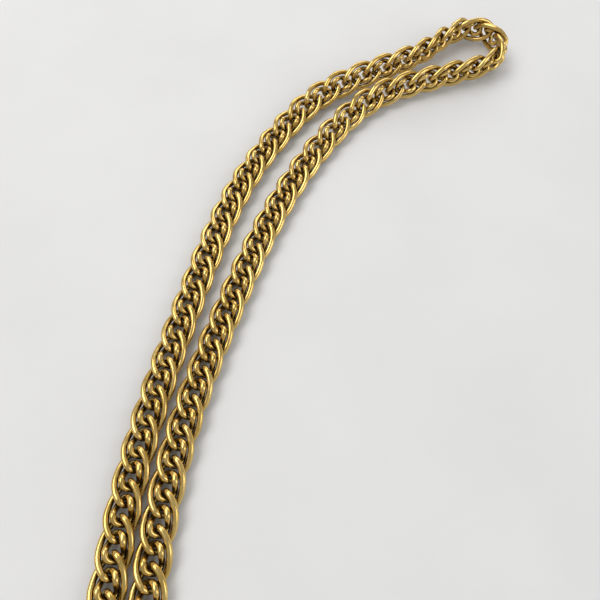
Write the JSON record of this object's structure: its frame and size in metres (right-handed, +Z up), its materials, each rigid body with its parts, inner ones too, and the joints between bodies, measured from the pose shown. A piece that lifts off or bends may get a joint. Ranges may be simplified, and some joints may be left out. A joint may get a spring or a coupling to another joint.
{
  "type": "eyeglasses chain strap",
  "caption": "Long curb-link metal neck chain for glasses, lying folded in half, with a cord temple loop, slider, cap and ring at each end.",
  "frame": {"origin": "centre of the folded strap's footprint, on the table it lies on", "axes": "+Z up, +Y towards the fold in the middle of the chain, +X to the right of the two strands"},
  "size_m": [0.1063, 0.3147, 0.0068],
  "materials": {
    "gold_link": "polished gold plate",
    "gold_fitting": "polished gold plate",
    "cord": "satin silicone",
    "slider": "satin silicone"
  },
  "bodies": {
    "fold": {"fold_outer_links": "gold_link", "fold_inner_links": "gold_link"},
    "left_run_1": {"left_run_1_outer_links": "gold_link", "left_run_1_inner_links": "gold_link"},
    "left_run_2": {"left_run_2_outer_links": "gold_link", "left_run_2_inner_links": "gold_link"},
    "left_run_3": {"left_run_3_outer_links": "gold_link", "left_run_3_inner_links": "gold_link"},
    "left_run_4": {"left_run_4_outer_links": "gold_link", "left_run_4_inner_links": "gold_link"},
    "left_run_5": {"left_run_5_outer_links": "gold_link", "left_run_5_inner_links": "gold_link"},
    "left_run_6": {"left_run_6_outer_links": "gold_link", "left_run_6_inner_links": "gold_link"},
    "left_run_7": {"left_run_7_outer_links": "gold_link", "left_run_7_inner_links": "gold_link"},
    "left_ring": {"left_end_ring": "gold_fitting"},
    "left_connector": {"left_end_cap": "gold_fitting", "left_temple_loop": "cord"},
    "left_bead": {"left_slider": "slider"},
    "right_run_1": {"right_run_1_outer_links": "gold_link", "right_run_1_inner_links": "gold_link"},
    "right_run_2": {"right_run_2_outer_links": "gold_link", "right_run_2_inner_links": "gold_link"},
    "right_run_3": {"right_run_3_outer_links": "gold_link", "right_run_3_inner_links": "gold_link"},
    "right_run_4": {"right_run_4_outer_links": "gold_link", "right_run_4_inner_links": "gold_link"},
    "right_run_5": {"right_run_5_outer_links": "gold_link", "right_run_5_inner_links": "gold_link"},
    "right_run_6": {"right_run_6_outer_links": "gold_link", "right_run_6_inner_links": "gold_link"},
    "right_run_7": {"right_run_7_outer_links": "gold_link", "right_run_7_inner_links": "gold_link"},
    "right_ring": {"right_end_ring": "gold_fitting"},
    "right_connector": {"right_end_cap": "gold_fitting", "right_temple_loop": "cord"},
    "right_bead": {"right_slider": "slider"}
  },
  "joints": [
    {"name": "left_run_1_spread", "type": "hinge", "parent": "fold", "child": "left_run_1", "pos_m": [-0.00264, 0.12605, 0.00149], "axis": [0, 0, -1], "range_deg": [0, 8]},
    {"name": "left_run_2_lift", "type": "hinge", "parent": "left_run_1", "child": "left_run_2", "pos_m": [-0.01952, 0.09447, 0.00149], "axis": [-0.9485, 0.3168, 0], "range_deg": [0, 10]},
    {"name": "left_run_3_spread", "type": "hinge", "parent": "left_run_2", "child": "left_run_3", "pos_m": [-0.02886, 0.05971, 0.00149], "axis": [0, 0, -1], "range_deg": [0, 8]},
    {"name": "left_run_4_lift", "type": "hinge", "parent": "left_run_3", "child": "left_run_4", "pos_m": [-0.03421, 0.02416, 0.00149], "axis": [-0.9979, 0.0652, 0], "range_deg": [0, 10]},
    {"name": "left_run_5_spread", "type": "hinge", "parent": "left_run_4", "child": "left_run_5", "pos_m": [-0.03549, -0.01181, 0.00149], "axis": [0, 0, -1], "range_deg": [0, 8]},
    {"name": "left_run_6_lift", "type": "hinge", "parent": "left_run_5", "child": "left_run_6", "pos_m": [-0.039, -0.04763, 0.00149], "axis": [-0.9924, 0.1233, 0], "range_deg": [0, 10]},
    {"name": "left_run_7_spread", "type": "hinge", "parent": "left_run_6", "child": "left_run_7", "pos_m": [-0.04304, -0.07736, 0.00149], "axis": [0, 0, -1], "range_deg": [0, 8]},
    {"name": "left_ring_lift", "type": "hinge", "parent": "left_run_7", "child": "left_ring", "pos_m": [-0.0468, -0.10914, 0.00149], "axis": [-1, 0, 0], "range_deg": [0, 15]},
    {"name": "left_connector_lift", "type": "hinge", "parent": "left_ring", "child": "left_connector", "pos_m": [-0.0468, -0.11237, 0.00149], "axis": [-1, 0, 0], "range_deg": [0, 25]},
    {"name": "left_slider_slide", "type": "slide", "parent": "left_connector", "child": "left_bead", "axis": [0, -1, 0], "range_m": [0, 0.007]},
    {"name": "right_run_1_spread", "type": "hinge", "parent": "fold", "child": "right_run_1", "pos_m": [0.00447, 0.1181, 0.00149], "axis": [0, 0, 1], "range_deg": [0, 8]},
    {"name": "right_run_2_lift", "type": "hinge", "parent": "right_run_1", "child": "right_run_2", "pos_m": [-0.01208, 0.08627, 0.00149], "axis": [-0.9352, 0.354, 0], "range_deg": [0, 10]},
    {"name": "right_run_3_spread", "type": "hinge", "parent": "right_run_2", "child": "right_run_3", "pos_m": [-0.02309, 0.05201, 0.00149], "axis": [0, 0, 1], "range_deg": [0, 8]},
    {"name": "right_run_4_lift", "type": "hinge", "parent": "right_run_3", "child": "right_run_4", "pos_m": [-0.02741, 0.01637, 0.00149], "axis": [-1, -0.0027, 0], "range_deg": [0, 10]},
    {"name": "right_run_5_spread", "type": "hinge", "parent": "right_run_4", "child": "right_run_5", "pos_m": [-0.02392, -0.01942, 0.00149], "axis": [0, 0, 1], "range_deg": [0, 8]},
    {"name": "right_run_6_lift", "type": "hinge", "parent": "right_run_5", "child": "right_run_6", "pos_m": [-0.01682, -0.05471, 0.00149], "axis": [-0.9791, -0.2034, 0], "range_deg": [0, 10]},
    {"name": "right_run_7_spread", "type": "hinge", "parent": "right_run_6", "child": "right_run_7", "pos_m": [-0.01049, -0.08403, 0.00149], "axis": [0, 0, 1], "range_deg": [0, 8]},
    {"name": "right_ring_lift", "type": "hinge", "parent": "right_run_7", "child": "right_ring", "pos_m": [-0.0054, -0.11555, 0.00149], "axis": [-1, 0.0001, 0], "range_deg": [0, 15]},
    {"name": "right_connector_lift", "type": "hinge", "parent": "right_ring", "child": "right_connector", "pos_m": [-0.0054, -0.11878, 0.00149], "axis": [-1, 0.0001, 0], "range_deg": [0, 25]},
    {"name": "right_slider_slide", "type": "slide", "parent": "right_connector", "child": "right_bead", "axis": [-0.0001, -1, 0], "range_m": [0, 0.007]}
  ]
}
